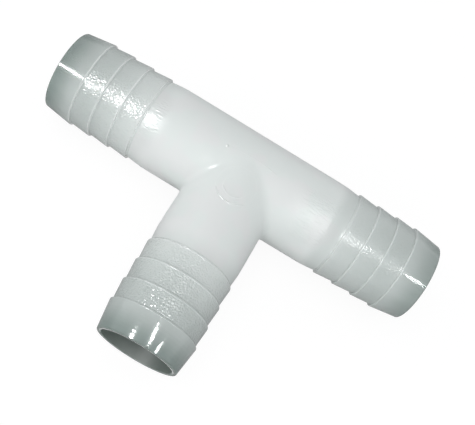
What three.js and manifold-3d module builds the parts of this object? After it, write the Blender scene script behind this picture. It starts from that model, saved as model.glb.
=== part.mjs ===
// Equal barbed tee for 25 mm (1 in) bore hose: one injection moulding in natural, translucent nylon.
//
// Millimetres, +Z up. The tee lies flat: its run is along X and its branch points towards -Y.
// The origin is under the middle of the tee, on the surface that the ridges rest on.
//
// The moulding is divided into the regions that a fitter would name. Each region is a closed solid
// of its own and meets the next one on a plane square to the arm, with no gap and no overlap:
//   run_barrel     the plain tube of the run, with the root of the branch on its side
//   branch_neck    the plain tube of the branch, with its conical neck
//   *_tail         the barbed hose tails, one on each of the three arms

import * as THREE from 'three';
import { mergeVertices } from 'three/addons/utils/BufferGeometryUtils.js';
import Module from 'manifold-3d';

const wasm = await Module();
wasm.setup();

// ---- driving dimensions -------------------------------------------------------------------------

const RIDGE_R = 13.5; // crest of every ridge, 27 mm across, to grip a 25 mm bore hose
const ROOT_R = 12.9; // foot of every ridge, and the small end of the neck
const RIDGES = 4; // ridges on each tail
const PITCH = 6.4; // from one crest to the next
const STEP = 0.7; // axial length of the slanted face that climbs from a foot to its crest
const LEAD = 8.6; // lead-in cone, from the outermost crest to the end of the arm
const TIP_R = 12.25; // small end of the lead-in cone
const RIM_EASE = 0.25; // chamfer on the outer edge of the port's rim
const BODY_R = 13.4; // plain tube of the run and of the branch
const KNEE = 28; // from the crossing of the axes to where the neck starts to narrow
const NECK_END = 32; // from the crossing to the foot of the innermost ridge
const ROOT_CUT = 14; // from the crossing to the plane between run_barrel and branch_neck
const BORE_MOUTH_R = 11; // bore at the end of each arm
const BORE_CROSS_R = 10.5; // bore at the crossing: the core pins taper so that they draw out
const FACETS = 48; // sides of every round shape

// ---- derived sizes ------------------------------------------------------------------------------

const FIRST_CREST = NECK_END + STEP;
const ARM = FIRST_CREST + (RIDGES - 1) * PITCH + LEAD; // crossing to the end of an arm
const CROSSING_Y = (ARM - RIDGE_R) / 2; // puts the origin in the middle of the tee's depth
const CROSSING_Z = RIDGE_R; // the ridges rest on the plane Z = 0
const CUTTER_REACH = NECK_END + 8; // the bore's cutters run past the faces that they cut

const NYLON = { color: 0xd9e0dc, roughness: 0.42, metalness: 0 };

/** Radius of the tapered bore at a distance from the crossing. */
function boreRadius(distance) {
  return BORE_CROSS_R + ((BORE_MOUTH_R - BORE_CROSS_R) * distance) / ARM;
}

/** A shape turned about the Y axis from a list of [radius, height] points, from low to high. */
function turned(profile) {
  return new THREE.LatheGeometry(profile.map(([r, y]) => new THREE.Vector2(r, y)), FACETS);
}

/** Radii of the tube from the knee to the foot of the innermost ridge, for one arm. */
function neckProfile() {
  return [[BODY_R, KNEE], [ROOT_R, NECK_END]];
}

/** One ridge after another: a slanted step up to each crest, then a cone down to the next foot. */
function ridgeProfile() {
  const points = [[ROOT_R, NECK_END]];
  for (let i = 0; i < RIDGES; i++) {
    const crest = FIRST_CREST + i * PITCH;
    if (i > 0) points.push([ROOT_R, crest - STEP]);
    points.push([RIDGE_R, crest]);
  }
  return points;
}

/** Closes an outer profile with the bore inside it, so that it turns into a tube. */
function tubeProfile(outer) {
  const start = outer[0][1];
  const end = outer[outer.length - 1][1];
  return [...outer, [boreRadius(end), end], [boreRadius(start), start], outer[0]];
}

// ---- joining and cutting ------------------------------------------------------------------------

/** A closed three.js geometry as a solid that can be joined and cut. */
function solidOf(geometry) {
  const bare = geometry.clone();
  bare.deleteAttribute('normal');
  bare.deleteAttribute('uv');
  const merged = mergeVertices(bare);
  const vertProperties = new Float32Array(merged.attributes.position.array);
  const triVerts = new Uint32Array(merged.index.array);
  return new wasm.Manifold(new wasm.Mesh({ numProp: 3, vertProperties, triVerts }));
}

/** The vertices and triangles of a solid as a three.js geometry. */
function geometryOf(solid) {
  const { vertProperties, triVerts } = solid.getMesh();
  const geometry = new THREE.BufferGeometry();
  geometry.setAttribute('position', new THREE.BufferAttribute(vertProperties, 3));
  geometry.setIndex(new THREE.BufferAttribute(triVerts, 1));
  geometry.computeVertexNormals();
  return geometry;
}

// ---- the regions of the moulding ----------------------------------------------------------------

/** A barbed hose tail, along +Y from the foot of its innermost ridge to the rim of its port. */
function tailGeometry() {
  const rim = [[TIP_R, ARM - RIM_EASE], [TIP_R - RIM_EASE, ARM]];
  return turned(tubeProfile([...ridgeProfile(), ...rim]));
}

/** The plain tube of the branch, along +Y, from the cut near the run to the innermost ridge. */
function neckGeometry() {
  return turned(tubeProfile([[BODY_R, ROOT_CUT], ...neckProfile()]));
}

/** The run's tube along Y with a neck at both ends, the branch's root on its side, and both bores. */
function barrelGeometry() {
  const neck = neckProfile();
  const mirrored = neck.map(([r, y]) => [r, -y]).reverse();
  const run = turned([[0, -NECK_END], ...mirrored, ...neck, [0, NECK_END]]);
  const root = turned([[0, 0], [BODY_R, 0], [BODY_R, ROOT_CUT], [0, ROOT_CUT]]);
  const reachR = boreRadius(CUTTER_REACH);
  const runBore = turned([
    [0, -CUTTER_REACH], [reachR, -CUTTER_REACH], [BORE_CROSS_R, 0], [reachR, CUTTER_REACH],
    [0, CUTTER_REACH],
  ]);
  const branchBore = turned([[0, 0], [BORE_CROSS_R, 0], [reachR, CUTTER_REACH], [0, CUTTER_REACH]]);
  for (const branchShape of [root, branchBore]) branchShape.rotateZ(-Math.PI / 2);
  return geometryOf(
    solidOf(run).add(solidOf(root)).subtract(solidOf(runBore)).subtract(solidOf(branchBore)),
  );
}

// ---- the scene graph ----------------------------------------------------------------------------

// Each arm turns a shape made along +Y about Z until it points along that arm.
const TO_RIGHT = -Math.PI / 2;
const TO_LEFT = Math.PI / 2;
const TO_BRANCH = Math.PI;

/** One named region, turned about Z at the crossing. */
function region(name, geometry, turn) {
  const mesh = new THREE.Mesh(geometry, new THREE.MeshStandardMaterial(NYLON));
  mesh.name = name;
  mesh.rotation.z = turn;
  return mesh;
}

const tee = new THREE.Group();
tee.name = 'barbed_tee_connector';
tee.position.set(0, CROSSING_Y, CROSSING_Z);
tee.add(
  region('run_barrel', barrelGeometry(), TO_RIGHT),
  region('branch_neck', neckGeometry(), TO_BRANCH),
  region('run_left_tail', tailGeometry(), TO_LEFT),
  region('run_right_tail', tailGeometry(), TO_RIGHT),
  region('branch_tail', tailGeometry(), TO_BRANCH),
);

export default tee;
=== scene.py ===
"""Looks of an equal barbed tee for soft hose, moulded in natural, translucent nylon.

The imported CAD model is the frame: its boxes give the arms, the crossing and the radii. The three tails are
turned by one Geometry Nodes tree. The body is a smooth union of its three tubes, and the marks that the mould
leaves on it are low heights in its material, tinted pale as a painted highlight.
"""

import logging
import math
from dataclasses import dataclass, field
from enum import Enum
from typing import Callable, Optional, Sequence, Union

import bmesh
import bpy
import numpy as np
from mathutils import Matrix, Vector


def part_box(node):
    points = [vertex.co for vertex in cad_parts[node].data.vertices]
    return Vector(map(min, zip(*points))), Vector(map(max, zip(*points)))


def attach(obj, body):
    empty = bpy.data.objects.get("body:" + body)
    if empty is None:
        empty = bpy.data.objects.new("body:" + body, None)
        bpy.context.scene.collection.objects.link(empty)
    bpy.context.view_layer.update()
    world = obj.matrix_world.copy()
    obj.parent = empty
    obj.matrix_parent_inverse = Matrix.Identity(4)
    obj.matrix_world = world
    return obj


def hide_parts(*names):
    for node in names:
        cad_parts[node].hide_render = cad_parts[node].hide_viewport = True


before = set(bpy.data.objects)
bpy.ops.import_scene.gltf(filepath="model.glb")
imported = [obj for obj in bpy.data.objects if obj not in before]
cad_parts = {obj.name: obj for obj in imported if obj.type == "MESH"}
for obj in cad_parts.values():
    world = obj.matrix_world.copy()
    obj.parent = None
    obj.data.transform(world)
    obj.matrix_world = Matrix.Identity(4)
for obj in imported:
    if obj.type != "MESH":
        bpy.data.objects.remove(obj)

log = logging.getLogger("barbed_tee")
MM = 0.001
ORIGIN = (0.0, 0.0, 0.0)
FLOAT = "NodeSocketFloat"
POINT = "NodeSocketVector"
COLOUR = "NodeSocketColor"
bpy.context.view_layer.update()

Socket = bpy.types.NodeSocket
Feed = Union[Socket, float, int, bool, str, Sequence[float], bpy.types.ID]
RadiusRule = Callable[[np.ndarray], np.ndarray]


# ---- wiring of node trees ---------------------------------------------------------------------


class Wiring:
    """Adds nodes to one tree and joins them."""

    def __init__(self, tree: bpy.types.NodeTree) -> None:
        """Keeps the tree that the nodes go in."""
        self.tree = tree

    def add(self, kind: str, **settings: object) -> bpy.types.Node:
        """Adds a node.

        Args:
            kind: The node's type name.
            **settings: Properties of the node, by name.

        Returns:
            The new node.
        """
        node = self.tree.nodes.new(kind)
        for name, value in settings.items():
            setattr(node, name, value)
        return node

    def feed(self, socket: Socket, value: Feed) -> None:
        """Links an output to a socket, or sets the socket's own value."""
        if isinstance(value, bpy.types.NodeSocket):
            self.tree.links.new(value, socket)
        else:
            socket.default_value = value

    def call(self, kind: str, inputs: dict[Union[str, int], Feed], **settings: object) -> bpy.types.Node:
        """Adds a node and feeds its inputs.

        Args:
            kind: The node's type name.
            inputs: What feeds each input, by the input's name or number.
            **settings: Properties of the node, by name.

        Returns:
            The new node.
        """
        node = self.add(kind, **settings)
        for key, value in inputs.items():
            self.feed(node.inputs[key], value)
        return node

    def math(self, operation: str, *values: Feed, clamp: bool = False) -> Socket:
        """One Math node's result."""
        node = self.add("ShaderNodeMath", operation=operation, use_clamp=clamp)
        for socket, value in zip(node.inputs, values):
            self.feed(socket, value)
        return node.outputs[0]

    def plus(self, first: Feed, second: Feed) -> Socket:
        """The sum of two values."""
        return self.math("ADD", first, second)

    def less(self, first: Feed, second: Feed) -> Socket:
        """The first value less the second."""
        return self.math("SUBTRACT", first, second)

    def times(self, first: Feed, second: Feed) -> Socket:
        """The product of two values."""
        return self.math("MULTIPLY", first, second)

    def over(self, first: Feed, second: Feed) -> Socket:
        """The first value divided by the second."""
        return self.math("DIVIDE", first, second)

    def parts(self, point: Feed) -> bpy.types.Node:
        """Node whose outputs are the three parts of a point."""
        return self.call("ShaderNodeSeparateXYZ", {0: point})

    def vector(self, operation: str, *values: Feed) -> bpy.types.Node:
        """One Vector Math node."""
        node = self.add("ShaderNodeVectorMath", operation=operation)
        for socket, value in zip(node.inputs, values):
            self.feed(socket, value)
        return node

    def ramp(self, value: Feed, low: Feed, high: Feed, to_low: Feed = 0.0, to_high: Feed = 1.0) -> Socket:
        """A value carried smoothly from one range to another.

        Args:
            value: What is carried over.
            low: Start of its range.
            high: End of its range.
            to_low: Result at the start.
            to_high: Result at the end.

        Returns:
            The carried value.
        """
        node = self.add("ShaderNodeMapRange", interpolation_type="SMOOTHSTEP")
        for socket, entry in zip(node.inputs, (value, low, high, to_low, to_high)):
            self.feed(socket, entry)
        return node.outputs[0]

    def mix(self, share: Feed, first: Feed, second: Feed) -> Socket:
        """Two colours mixed by a share of the second."""
        return self.call("ShaderNodeMix", {0: share, 6: first, 7: second}, data_type="RGBA").outputs[2]


def group_tree(name: str, kind: str, inputs: dict[str, tuple[str, Feed]], outputs: dict[str, str]) -> Wiring:
    """Starts a node group with named sockets.

    Args:
        name: The group's name.
        kind: Type of the tree, for shaders or for geometry.
        inputs: Each input's socket type and default, by its name.
        outputs: Each output's socket type, by its name.

    Returns:
        The wiring of the new tree, with its input and output nodes in place.
    """
    tree = bpy.data.node_groups.new(name, kind)
    for title, (socket, default) in inputs.items():
        made = tree.interface.new_socket(title, in_out="INPUT", socket_type=socket)
        if default is not None:
            made.default_value = default
    for title, socket in outputs.items():
        tree.interface.new_socket(title, in_out="OUTPUT", socket_type=socket)
    wiring = Wiring(tree)
    wiring.add("NodeGroupInput", name="In")
    wiring.add("NodeGroupOutput", name="Out")
    return wiring


# ---- sizes --------------------------------------------------------------------------------------


@dataclass(frozen=True)
class TeeSizes:
    """Driving sizes of the tee, in metres, read from the CAD boxes where a box has them."""

    crossing: Vector
    arm: float
    neck_end: float
    ridge_radius: float
    body_radius: float
    ridges: int = 4
    pitch: float = 6.4 * MM
    step: float = 0.7 * MM
    lead: float = 8.6 * MM
    root_radius: float = 12.9 * MM
    tip_radius: float = 12.25 * MM
    knee: float = 28.0 * MM
    bore_mouth: float = 11.0 * MM
    bore_cross: float = 10.5 * MM

    @classmethod
    def from_frame(cls) -> "TeeSizes":
        """Reads the arms and radii from the boxes of the tail and barrel nodes.

        Returns:
            The sizes.
        """
        low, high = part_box("run_right_tail")
        barrel_low, barrel_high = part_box("run_barrel")
        middle = (low + high) / 2
        return cls(
            crossing=Vector((0, middle.y, middle.z)),
            arm=high.x,
            neck_end=low.x,
            ridge_radius=(high.z - low.z) / 2,
            body_radius=(barrel_high.z - barrel_low.z) / 2,
        )

    def bore(self, distance: Union[float, np.ndarray]) -> Union[float, np.ndarray]:
        """Radius of the tapered bore at a distance, or at each distance, from the crossing."""
        return self.bore_cross + (self.bore_mouth - self.bore_cross) * distance / self.arm


class Arm(Enum):
    """The three arms, each with the turn about Z that points it away from the crossing."""

    RIGHT = 0.0
    LEFT = math.pi
    BRANCH = -math.pi / 2


# ---- shader groups ------------------------------------------------------------------------------


class MouldedGrain:
    """Spark-eroded grain: rounded pits of two sizes, as a height and as a mask of their tops."""

    def __init__(self) -> None:
        """Builds the group once."""
        inputs = {
            "Place": (POINT, ORIGIN),
            "Grain Size": (FLOAT, 0.4 * MM),
            "Unevenness": (FLOAT, 0.5),
        }
        outputs = {"Height": FLOAT, "Tops": FLOAT}
        w = group_tree("moulded_grain", "ShaderNodeTree", inputs, outputs)
        ins, out = w.tree.nodes["In"].outputs, w.tree.nodes["Out"]
        frequency = w.over(1.0, ins["Grain Size"])
        coarse = w.call("ShaderNodeTexNoise", {
            "Vector": ins["Place"], "Scale": frequency, "Detail": 0.4, "Roughness": 0.5,
        })
        cells = w.call("ShaderNodeTexVoronoi", {
            "Vector": ins["Place"], "Scale": w.times(frequency, 0.8), "Randomness": 1.0,
        }, feature="SMOOTH_F1")
        patches = w.call("ShaderNodeTexNoise", {
            "Vector": ins["Place"], "Scale": w.times(frequency, 0.12), "Detail": 1.0,
        })
        depth = w.plus(1.0, w.times(ins["Unevenness"], w.less(patches.outputs[0], 0.5)))
        pits = w.times(cells.outputs["Distance"], 0.55)
        height = w.times(w.plus(coarse.outputs[0], pits), depth)
        w.feed(out.inputs["Height"], height)
        w.feed(out.inputs["Tops"], w.ramp(height, 0.55, 0.9))
        self.tree = w.tree


class TurningRings:
    """Fine rings left by turning the mould, square to the arm, as a height."""

    def __init__(self) -> None:
        """Builds the group once."""
        inputs = {
            "Along": (FLOAT, 0.0),
            "Around": (POINT, ORIGIN),
            "Ring Pitch": (FLOAT, 0.5 * MM),
        }
        w = group_tree("turning_rings", "ShaderNodeTree", inputs, {"Height": FLOAT})
        ins, out = w.tree.nodes["In"].outputs, w.tree.nodes["Out"]
        turns = w.over(ins["Along"], ins["Ring Pitch"])
        uneven = w.call("ShaderNodeTexNoise", {"W": turns, "Scale": 1.0, "Detail": 3.0, "Roughness": 0.65},
                        noise_dimensions="1D")
        wobble = w.call("ShaderNodeTexNoise", {"Vector": ins["Around"], "Scale": 220.0, "Detail": 1.0})
        wave = w.math("SINE", w.times(turns, math.tau))
        rings = w.plus(w.times(wave, 0.25), uneven.outputs[0])
        w.feed(out.inputs["Height"], w.plus(rings, w.times(wobble.outputs[0], 0.2)))
        self.tree = w.tree


class DrawStreaks:
    """Faint streaks that polishing leaves along an arm, as a height and a mask."""

    def __init__(self) -> None:
        """Builds the group once."""
        inputs = {
            "Place": (POINT, ORIGIN),
            "Streak Width": (FLOAT, 0.4 * MM),
            "Streak Length": (FLOAT, 6.0 * MM),
            "Fineness": (FLOAT, 3.0),
        }
        outputs = {"Height": FLOAT, "Mask": FLOAT}
        w = group_tree("draw_streaks", "ShaderNodeTree", inputs, outputs)
        ins, out = w.tree.nodes["In"].outputs, w.tree.nodes["Out"]
        parts = w.parts(ins["Place"])
        stretched = w.call("ShaderNodeCombineXYZ", {
            0: w.over(parts.outputs[0], ins["Streak Width"]),
            1: w.over(parts.outputs[1], ins["Streak Width"]),
            2: w.over(parts.outputs[2], ins["Streak Length"]),
        })
        streaks = w.call("ShaderNodeTexNoise", {
            "Vector": stretched.outputs[0], "Scale": 1.0, "Detail": ins["Fineness"], "Roughness": 0.6,
        })
        w.feed(out.inputs["Height"], streaks.outputs[0])
        w.feed(out.inputs["Mask"], w.ramp(streaks.outputs[0], 0.35, 0.7))
        self.tree = w.tree


class MilkyTone:
    """Clouded tone of natural nylon: a thick colour, a thin colour, and slow flow marks between them."""

    def __init__(self) -> None:
        """Builds the group once."""
        inputs = {
            "Place": (POINT, ORIGIN),
            "Thick Colour": (COLOUR, (0.8, 0.8, 0.8, 1.0)),
            "Thin Colour": (COLOUR, (0.6, 0.6, 0.6, 1.0)),
            "Thinness": (FLOAT, 0.0),
            "Warm Colour": (COLOUR, (0.8, 0.8, 0.8, 1.0)),
            "Clouding": (FLOAT, 0.1),
            "Warmth": (FLOAT, 0.0),
        }
        w = group_tree("milky_tone", "ShaderNodeTree", inputs, {"Colour": COLOUR})
        ins, out = w.tree.nodes["In"].outputs, w.tree.nodes["Out"]
        clouds = w.call("ShaderNodeTexNoise", {
            "Vector": ins["Place"], "Scale": 70.0, "Detail": 2.0, "Distortion": 0.6,
        })
        drift = w.times(w.less(clouds.outputs[0], 0.5), ins["Clouding"])
        share = w.math("ADD", ins["Thinness"], drift, clamp=True)
        drifts = w.call("ShaderNodeTexNoise", {"Vector": ins["Place"], "Scale": 130.0, "Detail": 1.0})
        warmed = w.times(w.ramp(drifts.outputs[0], 0.46, 0.62), ins["Warmth"])
        thick = w.mix(warmed, ins["Thick Colour"], ins["Warm Colour"])
        w.feed(out.inputs["Colour"], w.mix(share, thick, ins["Thin Colour"]))
        self.tree = w.tree


class RaisedMarks:
    """Low marks of the mould, as heights and a polish mask.

    There are two plain rings that fade in and out, a bowed witness line that starts at a dot, a low swell,
    and a polished stroke in the crease.
    """

    crease_turn: float = math.radians(-43)
    stroke_share: float = 2.6
    dot_share: float = 1.6

    def __init__(self) -> None:
        """Builds the group once."""
        inputs = {
            "Place": (POINT, ORIGIN), "Ring Centre": (POINT, ORIGIN), "Line Centre": (POINT, ORIGIN),
            "Swell Centre": (POINT, ORIGIN), "Stroke Centre": (POINT, ORIGIN),
            "Outer Radius": (FLOAT, 5.8 * MM), "Inner Radius": (FLOAT, 3.7 * MM),
            "Ring Width": (FLOAT, 0.7 * MM), "Glint Side": (POINT, (-0.2, -0.98, 0.0)),
            "Line Reach": (FLOAT, 8.2 * MM), "Line Sag": (FLOAT, 0.9 * MM),
            "Line Width": (FLOAT, 0.4 * MM), "Swell Radius": (FLOAT, 3.2 * MM),
            "Stroke Reach": (FLOAT, 2.2 * MM),
        }
        outputs = {"Height": FLOAT, "Swell": FLOAT, "Polish": FLOAT}
        w = group_tree("raised_marks", "ShaderNodeTree", inputs, outputs)
        ins, out = w.tree.nodes["In"].outputs, w.tree.nodes["Out"]
        from_swell = self.reach(w, ins["Place"], ins["Swell Centre"])
        swell = w.ramp(from_swell, 0.0, ins["Swell Radius"], 1.0, 0.0)
        polish = w.math("MAXIMUM", w.times(swell, 0.7), self.stroke(w, ins))
        w.feed(out.inputs["Height"], w.plus(self.rings(w, ins), self.line(w, ins)))
        w.feed(out.inputs["Swell"], swell)
        w.feed(out.inputs["Polish"], polish)
        self.tree = w.tree

    def bead(self, w: Wiring, distance: Socket, width: Socket) -> Socket:
        """A rounded bead: one on its line, and nothing from half its width on."""
        return w.ramp(w.math("ABSOLUTE", distance), 0.0, w.times(width, 0.5), 1.0, 0.0)

    def offset(self, w: Wiring, place: Socket, centre: Socket) -> bpy.types.NodeOutputs:
        """The three parts of the way from a centre to a place."""
        away = w.vector("SUBTRACT", place, centre).outputs[0]
        return w.parts(away).outputs

    def reach(self, w: Wiring, place: Socket, centre: Socket) -> Socket:
        """Distance from a centre to a place."""
        away = w.vector("SUBTRACT", place, centre).outputs[0]
        return w.vector("LENGTH", away).outputs["Value"]

    def rings(self, w: Wiring, ins: bpy.types.NodeOutputs) -> Socket:
        """The two rings, kept mostly on the side where they catch the light and uneven along their length;
        their pale tint on the body is a painted highlight.
        """
        away = w.vector("SUBTRACT", ins["Place"], ins["Ring Centre"]).outputs[0]
        level = w.vector("MULTIPLY", away, (1.0, 1.0, 0.0)).outputs[0]
        reach = w.vector("LENGTH", level).outputs["Value"]
        upper = w.ramp(w.parts(ins["Place"]).outputs[2], 0.0, 1.0 * MM)
        fading = w.call("ShaderNodeTexNoise", {"Vector": ins["Place"], "Scale": 260.0, "Detail": 1.0})
        # The rings are kept on the side where they catch the light, which also places their painted highlight
        # tint.
        towards = w.vector("DOT_PRODUCT", w.vector("NORMALIZE", level).outputs[0], ins["Glint Side"])
        kept = w.ramp(towards.outputs["Value"], 0.3, 0.85, 0.10, 1.0)
        shown = w.times(w.times(upper, kept), w.ramp(fading.outputs[0], 0.40, 0.56, 0.35, 1.0))
        outer = self.bead(w, w.less(reach, ins["Outer Radius"]), ins["Ring Width"])
        inner = self.bead(w, w.less(reach, ins["Inner Radius"]), ins["Ring Width"])
        return w.times(w.plus(outer, w.times(inner, 0.7)), shown)

    def line(self, w: Wiring, ins: bpy.types.NodeOutputs) -> Socket:
        """The witness line along the run, its ends bent towards the branch, and the dot at its left end."""
        along, across, up = self.offset(w, ins["Place"], ins["Line Centre"])
        share = w.over(along, ins["Line Reach"])
        sag = w.times(w.times(share, share), ins["Line Sag"])
        line = self.bead(w, w.plus(across, sag), ins["Line Width"])
        ended = w.ramp(w.math("ABSOLUTE", share), 0.94, 1.0, 1.0, 0.0)
        above = w.ramp(up, 0.0, 1.0 * MM)
        line = w.times(line, w.times(ended, above))
        to_end = w.call("ShaderNodeCombineXYZ", {
            0: w.plus(along, ins["Line Reach"]), 1: w.plus(across, ins["Line Sag"]),
        })
        from_end = w.vector("LENGTH", to_end.outputs[0]).outputs["Value"]
        dot = self.bead(w, from_end, w.times(ins["Ring Width"], self.dot_share))
        raised_dot = w.times(dot, w.times(above, 1.3))
        return w.math("MAXIMUM", w.times(line, 0.35), raised_dot)

    def stroke(self, w: Wiring, ins: bpy.types.NodeOutputs) -> Socket:
        """The polished stroke that lies along the crease between the run and the branch."""
        turned = w.call("ShaderNodeVectorRotate", {
            "Vector": ins["Place"], "Center": ins["Stroke Centre"], "Angle": self.crease_turn,
        }, rotation_type="Z_AXIS")
        along, across, up = self.offset(w, turned.outputs[0], ins["Stroke Centre"])
        ends = w.ramp(w.math("ABSOLUTE", along), w.times(ins["Stroke Reach"], 0.3),
                      ins["Stroke Reach"], 1.0, 0.0)
        bead = self.bead(w, across, w.times(ins["Ring Width"], self.stroke_share))
        return w.times(bead, w.times(ends, w.ramp(up, -4.0 * MM, -3.0 * MM)))


@dataclass
class Groups:
    """The shader groups that the finishes share."""

    grain: MouldedGrain = field(default_factory=MouldedGrain)
    rings: TurningRings = field(default_factory=TurningRings)
    streaks: DrawStreaks = field(default_factory=DrawStreaks)
    tone: MilkyTone = field(default_factory=MilkyTone)
    marks: RaisedMarks = field(default_factory=RaisedMarks)


# ---- finishes -----------------------------------------------------------------------------------


@dataclass(frozen=True)
class NylonTone:
    """Colours and clarity of natural nylon.

    The colours are linear; the pale edge colour is painted highlight and the dark last colour is painted
    shade. Scatter is how far light spreads inside the plastic.
    """

    thick: tuple[float, float, float, float] = (0.80, 0.84, 0.825, 1.0)
    thin: tuple[float, float, float, float] = (0.27, 0.33, 0.31, 1.0)
    warm: tuple[float, float, float, float] = (0.83, 0.82, 0.825, 1.0)
    # Painted highlight colour: crests, risers, the inner lip and the raised marks.
    edge: tuple[float, float, float, float] = (0.90, 0.93, 0.92, 1.0)
    # Painted shade colour: darkens the bore and the rim of each port.
    painted_shade: tuple[float, float, float, float] = (0.19, 0.23, 0.21, 1.0)
    scatter: tuple[float, float, float] = (1.0, 1.0, 1.0)
    scatter_reach: float = 1.2 * MM
    index: float = 1.53
    shine: float = 1.0


@dataclass(frozen=True)
class NylonFinish:
    """A material of natural nylon; its subclasses say how the surface was tooled."""

    groups: Groups
    name: str
    sizes: TeeSizes
    tone: NylonTone = NylonTone()

    def start(self) -> tuple[Wiring, bpy.types.Node, bpy.types.Material]:
        """Makes the material with its shader and its uniform numbers.

        Returns:
            The wiring, the shader node and the material.
        """
        material = bpy.data.materials.new(self.name)
        material.use_nodes = True
        material.node_tree.nodes.clear()
        w = Wiring(material.node_tree)
        shader = w.add("ShaderNodeBsdfPrincipled", subsurface_method="RANDOM_WALK")
        w.feed(shader.inputs["Subsurface Weight"], 1.0)
        w.feed(shader.inputs["Subsurface Radius"], self.tone.scatter)
        w.feed(shader.inputs["Subsurface Scale"], self.tone.scatter_reach)
        w.feed(shader.inputs["IOR"], self.tone.index)
        w.feed(shader.inputs["Specular IOR Level"], self.tone.shine)
        out = w.add("ShaderNodeOutputMaterial")
        w.feed(out.inputs["Surface"], shader.outputs[0])
        return w, shader, material

    def group(self, w: Wiring, tree: bpy.types.NodeTree, inputs: dict[str, Feed]) -> bpy.types.Node:
        """Places one of the shared groups in a material."""
        node = w.add("ShaderNodeGroup", node_tree=tree)
        for name, value in inputs.items():
            w.feed(node.inputs[name], value)
        return node

    def bump(self, w: Wiring, height: Socket, depth: float, below: Optional[Socket] = None) -> Socket:
        """A Bump node's normal.

        Args:
            w: The material's wiring.
            height: The height that is pressed in.
            depth: Depth of a height of one, in metres.
            below: The normal that this bump lies on, if it isn't the surface's own.

        Returns:
            The bumped normal.
        """
        node = w.call("ShaderNodeBump", {"Height": height, "Distance": depth, "Strength": 1.0})
        if below is not None:
            w.feed(node.inputs["Normal"], below)
        return node.outputs[0]


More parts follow.
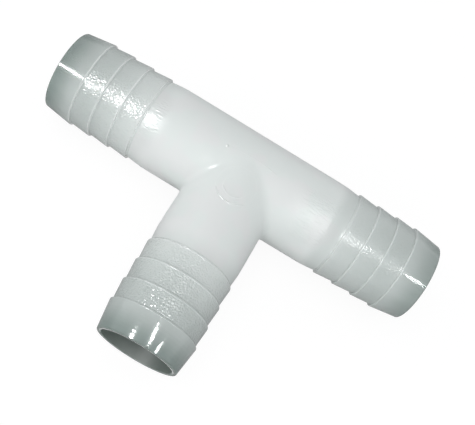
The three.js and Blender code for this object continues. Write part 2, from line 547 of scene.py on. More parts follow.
@dataclass(frozen=True)
class BodyFinish(NylonFinish):
    """Satin skin of the body, with draw streaks, drag-polished ends, the marks of the mould with a painted
    highlight tint, and painted shade on the right end.
    """

    ring_centre: float = 9.7 * MM
    swell_place: tuple[float, float, float] = (-10.9 * MM, -7.3 * MM, 11.2 * MM)
    stroke_place: tuple[float, float, float] = (-8.9 * MM, -7.8 * MM, 10.6 * MM)
    neck_thinness: float = 0.12
    # Painted shade: extra darkening of the right end, on the side away from the key lamp.
    right_painted_shade: float = 0.17
    drag_angle: float = math.radians(25)
    satin: tuple[float, float] = (0.84, 0.92)
    drag_gloss: float = 0.54
    mark_gloss: float = 0.66
    stroke_gloss: float = 0.58
    streak_depth: float = 0.012 * MM
    drag_depth: float = 0.12 * MM
    mark_depth: float = 0.15 * MM

    def build(self) -> bpy.types.Material:
        """Builds the material."""
        s = self.sizes
        w, shader, material = self.start()
        place = w.add("ShaderNodeAttribute", attribute_name="arm_place").outputs["Vector"]
        spot = w.add("ShaderNodeTexCoord").outputs["Object"]
        along = w.parts(place).outputs[2]
        across = w.parts(spot).outputs[0]
        # The neck's tone follows its thinner wall; the extra darkening of the right end is painted shade.
        thin = w.plus(w.ramp(along, s.knee - 2.0 * MM, s.neck_end, 0.0, self.neck_thinness),
                      w.ramp(across, s.knee - 2.0 * MM, s.knee + 1.5 * MM, 0.0, self.right_painted_shade))
        tone = self.group(w, self.groups.tone.tree, {
            "Place": spot, "Thick Colour": self.tone.thick, "Thin Colour": self.tone.thin,
            "Thinness": thin, "Clouding": 0.08, "Warm Colour": self.tone.warm, "Warmth": 0.4,
        })
        streaks = self.group(w, self.groups.streaks.tree, {
            "Place": place, "Streak Width": 0.35 * MM, "Streak Length": 4.0 * MM,
        })
        drags = self.group(w, self.groups.streaks.tree, {
            "Place": place, "Streak Width": 0.42 * MM, "Streak Length": 1.6 * MM, "Fineness": 0.8,
        }).outputs["Height"]
        marks = self.group(w, self.groups.marks.tree, {
            "Place": spot, "Ring Centre": s.crossing + Vector((-0.2 * MM, -self.ring_centre, 0)),
            "Line Centre": s.crossing + Vector((0, 0.1 * MM, 0)),
            "Swell Centre": s.crossing + Vector(self.swell_place),
            "Stroke Centre": s.crossing + Vector(self.stroke_place),
        }).outputs
        dragged, scored = self.drag_masks(w, spot, across, drags)
        drawn = self.bump(w, streaks.outputs["Height"], self.streak_depth)
        drawn = self.bump(w, w.times(drags, scored), self.drag_depth, drawn)
        swollen = self.bump(w, marks["Swell"], self.mark_depth, drawn)
        satin = w.ramp(streaks.outputs["Mask"], 0.0, 1.0, *self.satin)
        raised = w.math("MAXIMUM", w.ramp(marks["Height"], 0.0, 0.4, 0.0, self.mark_gloss),
                        w.times(marks["Polish"], self.stroke_gloss))
        gloss = w.math("MAXIMUM", w.times(dragged, self.drag_gloss), raised)
        # Painted highlight: the raised rings, witness line and dot are tinted toward the pale colour.
        w.feed(shader.inputs["Base Color"], w.mix(marks["Height"], tone.outputs[0], self.tone.edge))
        w.feed(shader.inputs["Roughness"], w.less(satin, gloss))
        w.feed(shader.inputs["Subsurface Weight"],
               w.ramp(along, s.neck_end - 2.8 * MM, s.neck_end - 0.6 * MM, 1.0, 0.0))
        w.feed(shader.inputs["Normal"], self.bump(w, marks["Height"], self.mark_depth, swollen))
        return material

    def drag_masks(self, w: Wiring, spot: Socket, across: Socket, drags: Socket) -> tuple[Socket, Socket]:
        """Where the body is polished by dragging: the left neck and the right end, on their upper front.

        Args:
            w: The material's wiring.
            spot: Place on the object.
            across: Its part along the run.
            drags: Height of the drag marks, which frays the edge of the left neck's patch.

        Returns:
            Masks for the gloss and for the depth of the drag marks.
        """
        s = self.sizes
        frayed = w.times(w.less(drags, 0.5), 2.0 * MM)
        left_neck = w.ramp(w.plus(across, frayed), 3.2 * MM - s.knee, 0.2 * MM - s.knee)
        right_end = w.times(w.ramp(across, 13 * MM, 22 * MM, 0.0, 0.85),
                            w.ramp(across, s.knee - 0.4 * MM, s.knee + 0.4 * MM, 1.0, 0.0))
        away = w.vector("SUBTRACT", spot, s.crossing).outputs[0]
        round_run = w.vector("MULTIPLY", away, (0.0, 1.0, 1.0)).outputs[0]
        upper_front = (0.0, -math.sin(self.drag_angle), math.cos(self.drag_angle))
        facing = w.vector("DOT_PRODUCT", w.vector("NORMALIZE", round_run).outputs[0], upper_front)
        worn = w.ramp(facing.outputs["Value"], 0.72, 0.92)
        dragged = w.times(w.plus(left_neck, right_end), worn)
        scored = w.times(w.plus(left_neck, w.times(right_end, 1.5)), worn)
        return dragged, scored


@dataclass(frozen=True)
class TailFinish(NylonFinish):
    """Grained ridge cones, a polished lead-in cone with turning rings, and a smooth bore, with painted shade
    in the bore and on the rim and painted highlights on the crests and the lip.
    """

    ridge_thinness: tuple[float, float] = (0.12, 0.42)
    lead_thinness: tuple[float, float] = (0.45, 1.0)
    ring_pitch: float = 0.45 * MM
    ring_depth: float = 0.045 * MM
    riser: float = 0.15 * MM
    crest_highlight_share: float = 0.8
    grain_size: float = 0.48 * MM
    grain_gloss: tuple[float, float] = (0.22, 0.13)
    grain_depth: float = 0.15 * MM
    lead_roughness: float = 0.11
    bore_roughness: float = 0.55

    def build(self) -> bpy.types.Material:
        """Builds the material."""
        s = self.sizes
        w, shader, material = self.start()
        place = w.add("ShaderNodeAttribute", attribute_name="arm_place").outputs["Vector"]
        spot = w.add("ShaderNodeTexCoord").outputs["Object"]
        parts = w.parts(place)
        along = parts.outputs[2]
        flat = w.call("ShaderNodeCombineXYZ", {0: parts.outputs[0], 1: parts.outputs[1]}).outputs[0]
        radius = w.vector("LENGTH", flat).outputs["Value"]
        last_crest = s.arm - s.lead
        outside = w.ramp(radius, s.bore_mouth + 0.2 * MM, s.bore_mouth + 0.6 * MM)
        lead = w.ramp(along, last_crest + 0.05 * MM, last_crest + 0.35 * MM)
        ridges = w.less(1.0, lead)
        turn = w.math("FLOORED_MODULO", w.less(along, s.neck_end + s.step), s.pitch)
        grain = self.group(w, self.groups.grain.tree, {
            "Place": spot, "Grain Size": self.grain_size, "Unevenness": 0.7,
        }).outputs
        rings = self.group(w, self.groups.rings.tree, {
            "Along": along, "Around": flat, "Ring Pitch": self.ring_pitch,
        }).outputs[0]
        grained = w.times(outside, ridges)
        worn = w.ramp(grain["Tops"], 0.0, 1.0, *self.grain_gloss)
        skin = w.plus(w.times(grained, worn), w.times(lead, self.lead_roughness))
        in_bore = w.ramp(outside, 0.0, 1.0, self.bore_roughness, 0.0)
        flank = w.times(w.ramp(turn, 0.05 * MM, 0.35 * MM),
                        w.ramp(turn, s.pitch - 0.65 * MM, s.pitch - 0.30 * MM, 1.0, 0.0))
        polished = w.times(lead, outside)
        turned = self.bump(w, w.times(rings, polished), self.ring_depth)
        pits = w.times(grain["Height"], w.times(grained, flank))
        tone = self.group(w, self.groups.tone.tree, {
            "Place": spot, "Thick Colour": self.tone.thick, "Thin Colour": self.tone.thin,
            "Thinness": self.thinness(w, along, lead), "Clouding": 0.15,
        }).outputs[0]
        # Painted highlight on the crests and painted light on the risers.
        with_crest_highlight = w.mix(self.crests(w, radius, turn, ridges), tone, self.tone.edge)
        # Painted shade: the bore takes the dark colour.
        with_bore_shade = w.mix(outside, self.tone.painted_shade, with_crest_highlight)
        w.feed(shader.inputs["Base Color"], self.mouth(w, spot, along, radius, with_bore_shade))
        w.feed(shader.inputs["Roughness"], w.plus(w.times(skin, outside), in_bore))
        w.feed(shader.inputs["Subsurface Weight"],
               w.ramp(along, s.neck_end + 0.6 * MM, s.neck_end + 2.8 * MM))
        w.feed(shader.inputs["Normal"], self.bump(w, pits, self.grain_depth, turned))
        return material

    def thinness(self, w: Wiring, along: Socket, lead: Socket) -> Socket:
        """How thin the plastic looks: more so along the ridges, and again along the lead-in cone."""
        s = self.sizes
        last_crest = s.arm - s.lead
        on_ridges = w.ramp(along, s.neck_end, last_crest, *self.ridge_thinness)
        on_lead = w.ramp(along, last_crest, s.arm, 0.0, self.lead_thinness[1] - self.lead_thinness[0])
        to_lead = w.times(lead, self.lead_thinness[0] - self.ridge_thinness[1])
        return w.plus(on_ridges, w.plus(on_lead, to_lead))

    def crests(self, w: Wiring, radius: Socket, turn: Socket, ridges: Socket) -> Socket:
        """Share of the painted highlight on the crests, and of painted light on the risers below them, which
        lifts their shade.
        """
        s = self.sizes
        # Painted highlight on the crest, and painted light on the riser.
        crest = w.ramp(radius, s.ridge_radius - 0.040 * MM, s.ridge_radius - 0.012 * MM)
        foot = s.pitch - self.riser
        riser_painted_light = w.times(w.ramp(turn, foot - 0.05 * MM, foot), ridges)
        return w.times(w.math("MAXIMUM", w.times(crest, 0.5), riser_painted_light), self.crest_highlight_share)

    def mouth(self, w: Wiring, spot: Socket, along: Socket, radius: Socket, colour: Socket) -> Socket:
        """Paints shade on the rim of the port, and paints a highlight as a pale line on the upper side of its
        inner lip.

        Args:
            w: The material's wiring.
            spot: Place on the object.
            along: Its distance along the arm.
            radius: Its distance from the arm's axis.
            colour: Colour of the tail without the rim and the lip.

        Returns:
            The colour with them.
        """
        s = self.sizes
        # Painted shade: the rim, the last half millimetre of the tail, is darkened toward the dark colour.
        rim = w.times(w.ramp(along, s.arm - 0.6 * MM, s.arm - 0.1 * MM), 0.6)
        # Painted highlight: a pale line along the inner lip, stronger on the upper side where the light
        # falls.
        from_lip = w.math("ABSOLUTE", w.less(radius, s.bore_mouth + 0.12 * MM))
        up = w.parts(spot).outputs[2]
        upper = w.ramp(up, s.crossing.z - 3.0 * MM, s.crossing.z + 5.0 * MM, 0.0, 0.95)
        lip = w.times(w.times(w.ramp(from_lip, 0.26 * MM, 0.50 * MM, 1.0, 0.0), upper),
                      w.ramp(along, s.arm - 0.5 * MM, s.arm - 0.2 * MM))
        return w.mix(lip, w.mix(rim, colour, self.tone.painted_shade), self.tone.edge)


# ---- pieces -------------------------------------------------------------------------------------


def plain_mesh(holder: bpy.types.Object) -> None:
    """Turns the result of an object's modifiers into its own plain mesh.

    Args:
        holder: The object that carries the modifiers.
    """
    graph = bpy.context.evaluated_depsgraph_get()
    made = bpy.data.meshes.new_from_object(holder.evaluated_get(graph))
    holder.modifiers.clear()
    holder.data = made


def run_tree(holder: bpy.types.Object, tree: bpy.types.NodeTree, values: dict[str, Feed]) -> None:
    """Runs a Geometry Nodes tree on an object and keeps the plain mesh.

    Args:
        holder: The object that the tree runs on.
        tree: The tree.
        values: The tree's input values, by the inputs' names.
    """
    modifier = holder.modifiers.new("build", "NODES")
    modifier.node_group = tree
    sockets = {i.name: i.identifier for i in tree.interface.items_tree if i.in_out == "INPUT"}
    for name, value in values.items():
        modifier[sockets[name]] = value
    plain_mesh(holder)


def new_piece(name: str, data: bpy.types.ID) -> bpy.types.Object:
    """A new object in the scene, at the origin."""
    piece = bpy.data.objects.new(name, data)
    bpy.context.scene.collection.objects.link(piece)
    return piece


@dataclass
class BarbedTails:
    """The three hose tails, turned by one tree from a section of ridges, lead-in cone, rim and bore."""

    sizes: TeeSizes
    sides: int = 256
    riser: float = 0.15 * MM
    crest_round: float = 0.12 * MM
    foot_round: float = 0.08 * MM
    rim_round: float = 0.30 * MM
    mouth_round: float = 0.20 * MM

    def tree(self) -> bpy.types.NodeTree:
        """Builds the tree that turns one tail.

        Returns:
            The Geometry Nodes tree.
        """
        inputs = {
            "Geometry": ("NodeSocketGeometry", None), "Crossing": (POINT, ORIGIN),
            "Turn": (FLOAT, 0.0), "Ridges": ("NodeSocketInt", 4), "Sides": ("NodeSocketInt", 64),
            "Neck End": (FLOAT, 0.032), "First Foot": (FLOAT, 0.0323), "Pitch": (FLOAT, 0.006),
            "Step": (FLOAT, 0.001), "Arm Length": (FLOAT, 0.06), "Root Radius": (FLOAT, 0.0129),
            "Ridge Radius": (FLOAT, 0.0135),
            "Tip Radius": (FLOAT, 0.012), "Bore At Foot": (FLOAT, 0.0107), "Bore At Mouth": (FLOAT, 0.011),
            "Crest Round": (FLOAT, 0.0001), "Foot Round": (FLOAT, 0.0001), "Rim Round": (FLOAT, 0.0003),
            "Mouth Round": (FLOAT, 0.0003), "Finish": ("NodeSocketMaterial", None),
        }
        w = group_tree("barbed_tail", "GeometryNodeTree", inputs, {"Geometry": "NodeSocketGeometry"})
        ins, out = w.tree.nodes["In"].outputs, w.tree.nodes["Out"]
        section = self.section(w, ins)
        circle = w.call("GeometryNodeCurvePrimitiveCircle",
                        {"Resolution": ins["Sides"], "Radius": ins["Root Radius"]}, mode="RADIUS")
        swept = w.call("GeometryNodeCurveToMesh", {"Curve": circle.outputs[0], "Profile Curve": section})
        place = w.add("GeometryNodeInputPosition").outputs[0]
        stored = w.call("GeometryNodeStoreNamedAttribute",
                        {"Geometry": swept.outputs[0], "Name": "arm_place", "Value": place},
                        data_type="FLOAT_VECTOR", domain="POINT")
        pointing = w.call("ShaderNodeCombineXYZ", {0: 0.0, 1: math.pi / 2, 2: ins["Turn"]})
        turn = w.call("FunctionNodeEulerToRotation", {0: pointing.outputs[0]})
        placed = w.call("GeometryNodeTransform", {
            "Geometry": stored.outputs[0], "Translation": ins["Crossing"], "Rotation": turn.outputs[0],
        })
        smooth = w.call("GeometryNodeSetShadeSmooth", {"Geometry": placed.outputs[0], "Shade Smooth": True})
        angle = w.add("GeometryNodeInputMeshEdgeAngle").outputs["Unsigned Angle"]
        corner = w.call("FunctionNodeCompare", {0: angle, 1: math.radians(35)},
                        data_type="FLOAT", operation="GREATER_THAN").outputs[0]
        creased = w.call("GeometryNodeSetShadeSmooth", {
            "Geometry": smooth.outputs[0], "Selection": corner, "Shade Smooth": False,
        }, domain="EDGE")
        real = w.call("GeometryNodeRealizeInstances", {"Geometry": creased.outputs[0]})
        dressed = w.call("GeometryNodeSetMaterial", {"Geometry": real.outputs[0], "Material": ins["Finish"]})
        w.feed(out.inputs[0], dressed.outputs[0])
        return w.tree

    def section(self, w: Wiring, ins: bpy.types.NodeOutputs) -> Socket:
        """Lays out the tail's section: feet and crests by a rule, then the rim and the bore.

        Args:
            w: The tree's wiring.
            ins: The tree's named inputs.

        Returns:
            The closed section curve, with its corners rounded.
        """
        index = w.less(w.add("GeometryNodeInputIndex").outputs[0], 1.0)
        ridge_points = w.times(ins["Ridges"], 2.0)
        count = w.plus(ridge_points, 4.0)
        line = w.add("GeometryNodeCurvePrimitiveLine")
        points = w.call("GeometryNodeResampleCurve", {"Curve": line.outputs[0], "Count": count})
        ridge = w.math("FLOOR", w.over(w.plus(index, 0.1), 2.0))
        crest = w.less(index, w.times(ridge, 2.0))

        def is_point(offset: float) -> Socket:
            """One where the point is a given number after the last ridge point."""
            return w.math("COMPARE", index, w.plus(ridge_points, offset), 0.25)

        def pick(choice: Socket, first: Socket, second: Socket) -> Socket:
            """The second value where the choice is one."""
            return w.call("GeometryNodeSwitch", {0: choice, 1: first, 2: second},
                          input_type="FLOAT").outputs[0]

        rim, mouth, inner_foot = is_point(0), is_point(1), is_point(2)
        first = w.math("COMPARE", index, -1.0, 0.25)
        start = w.plus(ins["First Foot"], w.times(ridge, ins["Pitch"]))
        along = w.plus(start, w.times(crest, ins["Step"]))
        rise = w.less(ins["Ridge Radius"], ins["Root Radius"])
        radius = w.plus(ins["Root Radius"], w.times(crest, rise))
        along = pick(w.plus(rim, mouth), along, ins["Arm Length"])
        along = pick(w.plus(first, inner_foot), along, ins["Neck End"])
        radius = pick(first, radius, ins["Root Radius"])
        radius = pick(rim, radius, ins["Tip Radius"])
        radius = pick(mouth, radius, ins["Bore At Mouth"])
        radius = pick(inner_foot, radius, ins["Bore At Foot"])
        spot = w.call("ShaderNodeCombineXYZ", {
            0: w.less(radius, ins["Root Radius"]), 1: w.times(along, -1.0),
        })
        laid = w.call("GeometryNodeSetPosition", {"Geometry": points.outputs[0], "Position": spot.outputs[0]})
        closed = w.call("GeometryNodeSetSplineCyclic", {"Geometry": laid.outputs[0], "Cyclic": True})
        rounding = pick(w.math("GREATER_THAN", crest, 0.5), ins["Foot Round"], ins["Crest Round"])
        rounding = pick(rim, rounding, ins["Rim Round"])
        rounding = pick(mouth, rounding, ins["Mouth Round"])
        rounding = pick(w.plus(first, inner_foot), rounding, 0.0)
        filleted = w.call("GeometryNodeFilletCurve", {
            "Curve": closed.outputs[0], "Count": 5, "Radius": rounding, "Limit Radius": True,
        }, mode="POLY")
        return filleted.outputs[0]

    def build(self, finishes: dict[Arm, bpy.types.Material]) -> list[bpy.types.Object]:
        """Makes the three tails.

        Args:
            finishes: Each arm's material.

        Returns:
            The finished pieces.
        """
        s = self.sizes
        tree = self.tree()
        pieces = []
        nodes = {Arm.LEFT: "run_left_tail", Arm.RIGHT: "run_right_tail", Arm.BRANCH: "branch_tail"}
        for arm, node in nodes.items():
            piece = new_piece(f"{node}_moulding", bpy.data.meshes.new(node))
            run_tree(piece, tree, {
                "Crossing": s.crossing, "Turn": arm.value, "Ridges": s.ridges, "Sides": self.sides,
                "Neck End": s.neck_end, "First Foot": s.neck_end + s.step - self.riser,
                "Pitch": s.pitch, "Step": self.riser, "Arm Length": s.arm,
                "Root Radius": s.root_radius, "Ridge Radius": s.ridge_radius, "Tip Radius": s.tip_radius,
                "Bore At Foot": s.bore(s.neck_end), "Bore At Mouth": s.bore_mouth,
                "Crest Round": self.crest_round, "Foot Round": self.foot_round, "Rim Round": self.rim_round,
                "Mouth Round": self.mouth_round, "Finish": finishes[arm],
            })
            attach(piece, "root")
            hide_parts(node)
            log.info("%s: %d faces", piece.name, len(piece.data.polygons))
            pieces.append(piece)
        return pieces


@dataclass
class TeeBody:
    """Run barrel and branch neck as one shell: three tubes that meet in a rounded crotch, and their bores."""

    sizes: TeeSizes
    sides: int = 256
    crotch_round: float = 6.0 * MM
    bore_round: float = 0.3 * MM
    knee_round: float = 1.4 * MM
    rows: int = 44
    neck_rows: int = 20
    weld_reach: float = 0.002 * MM
    sliver: float = 0.0001 * MM

    def outer_radius(self, distance: np.ndarray) -> np.ndarray:
        """Radius of a tube: plain up to the knee, then a cone down to the foot of the ridges.

        Args:
            distance: Distances from the crossing.

        Returns:
            The radius at each distance.
        """
        s = self.sizes
        slope = (s.body_radius - s.root_radius) / (s.neck_end - s.knee)
        past = distance - s.knee
        eased = (past + np.sqrt(past**2 + self.knee_round**2)) / 2
        at_end = (s.neck_end - s.knee + math.hypot(s.neck_end - s.knee, self.knee_round)) / 2
        return s.body_radius - slope * (s.neck_end - s.knee) * eased / at_end

    def surface(self, points: np.ndarray, radius: RadiusRule, blend: float) -> np.ndarray:
        """Signed distance from the joined tubes, with a fillet that fades where they meet tangentially.

        Args:
            points: Points in the tee's own frame, with the crossing at the origin.
            radius: Function from distances along an arm to radii.
            blend: Size of the fillet at the crotch.

        Returns:
            The distance at each point.
        """
        x, y, z = points.T
        run_rho, branch_rho = np.hypot(y, z), np.hypot(x, z)
        run = run_rho - radius(np.abs(x))
        branch = branch_rho - radius(np.abs(y))
        height = z * z / np.maximum(run_rho * branch_rho, 1e-12)
        reach = np.maximum(blend * (1 - height) * (0.3 + 0.7 * height), 1e-9)
        near = np.clip(reach - np.abs(run - branch), 0, None) / reach
        joined = np.minimum(run, branch) - near * near * reach / 4
        return np.where(y < 0, joined, run)

    def settle(self, points: np.ndarray, radius: RadiusRule, blend: float) -> np.ndarray:
        """Moves points onto the joined surface, along its own slope."""
        step = 1e-7
        for _ in range(6):
            value = self.surface(points, radius, blend)
            slope = np.stack([
                (self.surface(points + nudge, radius, blend) - self.surface(points - nudge, radius, blend))
                for nudge in step * np.eye(3)
            ], 1) / (2 * step)
            slope /= np.maximum((slope**2).sum(1, keepdims=True), 1e-9)
            points = points - value[:, None] * slope
        return points

    def grid(self, axis: Vector, side: Vector, radius: RadiusRule, crossing_radius: float,
             both: bool) -> np.ndarray:
        """Points of one tube, from where it leaves its neighbours to the end of its neck.

        Args:
            axis: Direction of the arm.
            side: Direction across it that the angle zero leads to, a quarter turn from up.
            radius: Function from distances along the arm to radii.
            crossing_radius: Radius where the tubes meet.
            both: True where the tube meets a neighbour on both sides, as the branch does.

        Returns:
            An array of rows by sides by 3.
        """
        s = self.sizes
        angle = np.linspace(0, math.tau, self.sides, endpoint=False)
        across = np.sin(angle)
        start = crossing_radius * (np.abs(across) if both else np.clip(across, 0, None))
        share = np.linspace(0, 1, self.rows) ** 1.6
        knee_start = s.knee - 1.5 * MM
        plain = start[None, :] + share[:, None] * (knee_start - start[None, :])
        neck = np.linspace(knee_start, s.neck_end, self.neck_rows)[1:, None] * np.ones((1, self.sides))
        along = np.vstack([plain, neck])
        rho = radius(along)
        rho[0] = crossing_radius
        up = Vector((0, 0, 1))
        return (along[..., None] * np.array(axis) + (rho * across)[..., None] * np.array(side)
                + (rho * np.cos(angle))[..., None] * np.array(up))

    def shell(self, radius: RadiusRule, blend: float, outward: bool) -> tuple[np.ndarray, ...]:
        """The skin of the three joined tubes.

        Args:
            radius: Function from distances along an arm to radii.
            blend: Size of the fillet at the crotch.
            outward: True where the faces point away from the axes.

        Returns:
            Points, quads and each point's place along its own arm.
        """
        crossing_radius = float(radius(np.array([0.0]))[0])
        arms = [
            (Vector((1, 0, 0)), Vector((0, -1, 0)), False, True),
            (Vector((-1, 0, 0)), Vector((0, -1, 0)), False, False),
            (Vector((0, -1, 0)), Vector((1, 0, 0)), True, False),
        ]
        points, quads, places = [], [], []
        base = 0
        for axis, side, both, flip in arms:
            grid = self.grid(axis, side, radius, crossing_radius, both)
            rows, sides, _ = grid.shape
            flat = grid.reshape(-1, 3)
            settled = self.settle(flat, radius, blend)
            settled.reshape(rows, sides, 3)[-1] = grid[-1]
            row, column = np.meshgrid(np.arange(rows - 1), np.arange(sides), indexing="ij")
            ahead = (column + 1) % sides
            corners = np.stack([row * sides + column, row * sides + ahead,
                                (row + 1) * sides + ahead, (row + 1) * sides + column], -1).reshape(-1, 4)
            if flip == outward:
                corners = corners[:, ::-1]
            local = np.stack([settled @ np.array(side), settled[:, 2], settled @ np.array(axis)], 1)
            points.append(settled)
            places.append(local)
            quads.append(corners + base)
            base += len(settled)
        return np.vstack(points), np.vstack(quads), np.vstack(places)

    def build(self, finish: bpy.types.Material) -> bpy.types.Object:
        """Makes the body.

        Args:
            finish: Its material.

        Returns:
            The finished piece.
        """
        outer = self.shell(self.outer_radius, self.crotch_round, True)
        inner = self.shell(self.sizes.bore, self.bore_round, False)
        shift = len(outer[0])
        rows = self.rows + self.neck_rows - 1
        rims = []
        column = np.arange(self.sides)
        ahead = (column + 1) % self.sides
        for arm in range(3):
            edge = (arm * rows + rows - 1) * self.sides
            rim = np.stack([edge + column, edge + ahead, shift + edge + ahead, shift + edge + column], 1)
            rims.append(rim if arm == 0 else rim[:, ::-1])
        points = np.vstack([outer[0], inner[0]]) + np.array(self.sizes.crossing)
        quads = np.vstack([outer[1], inner[1] + shift, *rims])
        mesh = bpy.data.meshes.new("tee_body")
        mesh.from_pydata(points.tolist(), [], quads.tolist())
        place = mesh.attributes.new("arm_place", "FLOAT_VECTOR", "POINT")
        place.data.foreach_set("vector", np.vstack([outer[2], inner[2]]).astype(np.float32).ravel())
        mesh.materials.append(finish)
        piece = new_piece("tee_body_moulding", mesh)
        self.weld(mesh)
        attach(piece, "root")
        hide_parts("run_barrel", "branch_neck")
        log.info("%s: %d faces", piece.name, len(mesh.polygons))
        return piece

    def weld(self, mesh: bpy.types.Mesh) -> None:
        """Joins the tubes where their points meet, and makes the skin smooth up to its corners."""
        work = bmesh.new()
        work.from_mesh(mesh)
        bmesh.ops.remove_doubles(work, verts=work.verts, dist=self.weld_reach)
        bmesh.ops.dissolve_degenerate(work, dist=self.sliver, edges=work.edges)
        bmesh.ops.recalc_face_normals(work, faces=work.faces)
        for face in work.faces:
            face.smooth = True
        for edge in work.edges:
            edge.smooth = len(edge.link_faces) == 2 and edge.calc_face_angle() < math.radians(35)
        unpaired = sum(len(edge.link_faces) != 2 for edge in work.edges)
        log.info("edges of the body that are not shared by two faces: %d", unpaired)
        work.to_mesh(mesh)
        work.free()


# ---- studio -------------------------------------------------------------------------------------


class Role(Enum):
    """What a lamp is for: the highlights, or the even light under them."""

    HIGHLIGHT = "highlight"
    FILL = "fill"


@dataclass(frozen=True)
class SoftLight:
    """A round or long soft lamp that looks at the middle of the tee."""

    name: str
    spot: Vector
    size: float
    power: float
    role: Role
    stretch: float = 1.0

    def build(self, target: Vector) -> None:
        """Hangs the light.

        Args:
            target: The point that it looks at.
        """
        data = bpy.data.lights.new(self.name, "AREA")
        data.shape = "ELLIPSE"
        data.size = self.size
        data.size_y = self.size * self.stretch
        data.energy = self.power
        light = bpy.data.objects.new(self.name, data)
        light.location = self.spot
        light.rotation_mode = "QUATERNION"
        light.rotation_quaternion = (target - self.spot).to_track_quat("-Z", "Y")
        light.visible_camera = False
        light.visible_glossy = self.role is Role.HIGHLIGHT
        light.visible_diffuse = self.role is Role.FILL
        bpy.context.scene.collection.objects.link(light)


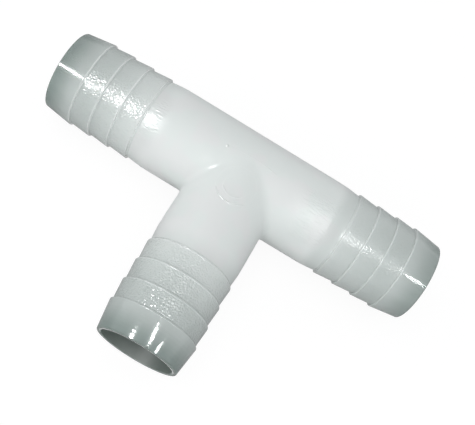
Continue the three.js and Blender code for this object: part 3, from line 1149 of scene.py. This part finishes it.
@dataclass
class Studio:
    """Pale floor, soft lights near the camera, and the camera."""

    sizes: TeeSizes
    aim: Vector = field(default_factory=lambda: Vector((4.05, -10.9, 0)) * MM)
    distance: float = 213.2 * MM
    azimuth: float = -2.19
    elevation: float = 66.83
    roll: float = 33.33
    lens: float = 55.36
    floor_reach: float = 3.0
    sky_range: tuple[float, float] = (0.80, 0.60)

    def camera(self) -> None:
        """Makes the camera, aimed by azimuth, elevation and roll."""
        azimuth, elevation = math.radians(self.azimuth), math.radians(self.elevation)
        back = Vector((math.sin(azimuth) * math.cos(elevation), -math.cos(azimuth) * math.cos(elevation),
                       math.sin(elevation)))
        data = bpy.data.cameras.new("camera")
        data.lens = self.lens
        data.clip_start = 0.01
        camera = bpy.data.objects.new("camera", data)
        level = (-back).to_track_quat("-Z", "Y").to_matrix()
        turned = level @ Matrix.Rotation(math.radians(self.roll), 3, "Z")
        spot = self.sizes.crossing + self.aim + back * self.distance
        camera.matrix_world = Matrix.Translation(spot) @ turned.to_4x4()
        bpy.context.scene.collection.objects.link(camera)
        bpy.context.scene.camera = camera

    def lights(self) -> None:
        """Hangs the lights and sets the sky."""
        middle = self.sizes.crossing
        for light in (
            SoftLight("key_left", middle + Vector((-0.195, -0.155, 0.350)), 0.044, 1.05, Role.HIGHLIGHT),
            SoftLight("lamp_middle", middle + Vector((0.047, -0.075, 0.200)), 0.015, 0.10, Role.HIGHLIGHT, 4),
            SoftLight("lamp_right", middle + Vector((0.216, -0.112, 0.248)), 0.044, 0.100, Role.HIGHLIGHT),
            SoftLight("fill_above", middle + Vector((-0.05, -0.08, 0.40)), 0.30, 0.28, Role.FILL),
            SoftLight("fill_front", middle + Vector((0.0, -0.52, 0.03)), 0.30, 1.0, Role.FILL),
            SoftLight("fill_left", middle + Vector((-0.50, -0.12, 0.06)), 0.30, 0.50, Role.FILL),
        ):
            light.build(middle)
        self.sky()

    def sky(self) -> None:
        """A soft sky, brighter overhead than near the horizon, that shows pale behind the tee."""
        world = bpy.data.worlds.new("sky")
        world.use_nodes = True
        world.node_tree.nodes.clear()
        w = Wiring(world.node_tree)
        upwards = w.add("ShaderNodeTexCoord").outputs["Generated"]
        height = w.parts(upwards).outputs[2]
        glow = w.call("ShaderNodeBackground", {
            "Color": (0.98, 0.99, 1.0, 1.0), "Strength": w.ramp(height, 0.0, 0.9, *self.sky_range),
        })
        backdrop = w.call("ShaderNodeBackground", {"Color": (0.97, 0.97, 0.97, 1.0)})
        seen = w.add("ShaderNodeLightPath").outputs["Is Camera Ray"]
        shown = w.call("ShaderNodeMixShader", {0: seen, 1: glow.outputs[0], 2: backdrop.outputs[0]})
        out = w.add("ShaderNodeOutputWorld")
        w.feed(out.inputs["Surface"], shown.outputs[0])
        bpy.context.scene.world = world

    def floor(self) -> None:
        """Lays the pale floor that the ridges rest on."""
        r = self.floor_reach
        mesh = bpy.data.meshes.new("floor")
        mesh.from_pydata([(-r, -r, 0), (r, -r, 0), (r, r, 0), (-r, r, 0)], [], [(0, 1, 2, 3)])
        floor = new_piece("floor", mesh)
        mesh.materials.append(self.paper())

    def paper(self) -> bpy.types.Material:
        """Back-lit white paper: it glows towards the camera and throws little light up at the tee."""
        material = bpy.data.materials.new("lit_paper")
        material.use_nodes = True
        material.node_tree.nodes.clear()
        w = Wiring(material.node_tree)
        spot = w.add("ShaderNodeTexCoord").outputs["Object"]
        mottle = w.call("ShaderNodeTexNoise", {"Vector": spot, "Scale": 12.0, "Detail": 2.0})
        pale = w.mix(mottle.outputs[0], (0.10, 0.10, 0.10, 1.0), (0.12, 0.12, 0.12, 1.0))
        lit = w.call("ShaderNodeBsdfDiffuse", {"Color": pale})
        glow = w.call("ShaderNodeEmission", {"Color": (1.0, 1.0, 1.0, 1.0), "Strength": 0.92})
        bright = w.call("ShaderNodeAddShader", {0: lit.outputs[0], 1: glow.outputs[0]})
        path = w.add("ShaderNodeLightPath").outputs
        dull = w.call("ShaderNodeBsdfDiffuse", {"Color": (0.10, 0.10, 0.10, 1.0)})
        mirrored = w.call("ShaderNodeEmission", {"Color": (0.98, 0.99, 1.0, 1.0), "Strength": 0.40})
        around = w.call("ShaderNodeMixShader", {
            0: path["Is Glossy Ray"], 1: dull.outputs[0], 2: mirrored.outputs[0],
        })
        shown = w.call("ShaderNodeMixShader", {
            0: path["Is Camera Ray"], 1: around.outputs[0], 2: bright.outputs[0],
        })
        out = w.add("ShaderNodeOutputMaterial")
        w.feed(out.inputs["Surface"], shown.outputs[0])
        return material

    def build(self) -> None:
        """Builds the whole stage."""
        self.floor()
        self.lights()
        self.camera()
        bpy.context.scene.view_settings.view_transform = "Standard"


def main() -> None:
    """Builds the stage and every piece."""
    logging.basicConfig(level=logging.INFO, format="%(name)s: %(message)s")
    sizes = TeeSizes.from_frame()
    groups = Groups()
    Studio(sizes).build()
    TeeBody(sizes).build(BodyFinish(groups, "body_nylon", sizes).build())
    BarbedTails(sizes).build({
        Arm.LEFT: TailFinish(groups, "left_tail_nylon", sizes).build(),
        # Painted shade and light: the right tail's ridges are darker and its lead-in cone lighter than the
        # left's, and the right tail and branch carry less painted crest highlight.
        Arm.RIGHT: TailFinish(groups, "right_tail_nylon", sizes, ridge_thinness=(0.29, 0.44),
                              lead_thinness=(0.44, 0.85), ring_depth=0.012 * MM, crest_highlight_share=0.4,
                              grain_gloss=(0.26, 0.23), grain_depth=0.08 * MM).build(),
        Arm.BRANCH: TailFinish(groups, "branch_tail_nylon", sizes, ring_pitch=1.1 * MM,
                               ring_depth=0.010 * MM, crest_highlight_share=0.3, grain_gloss=(0.27, 0.18)).build(),
    })


if __name__ == "__main__":
    main()
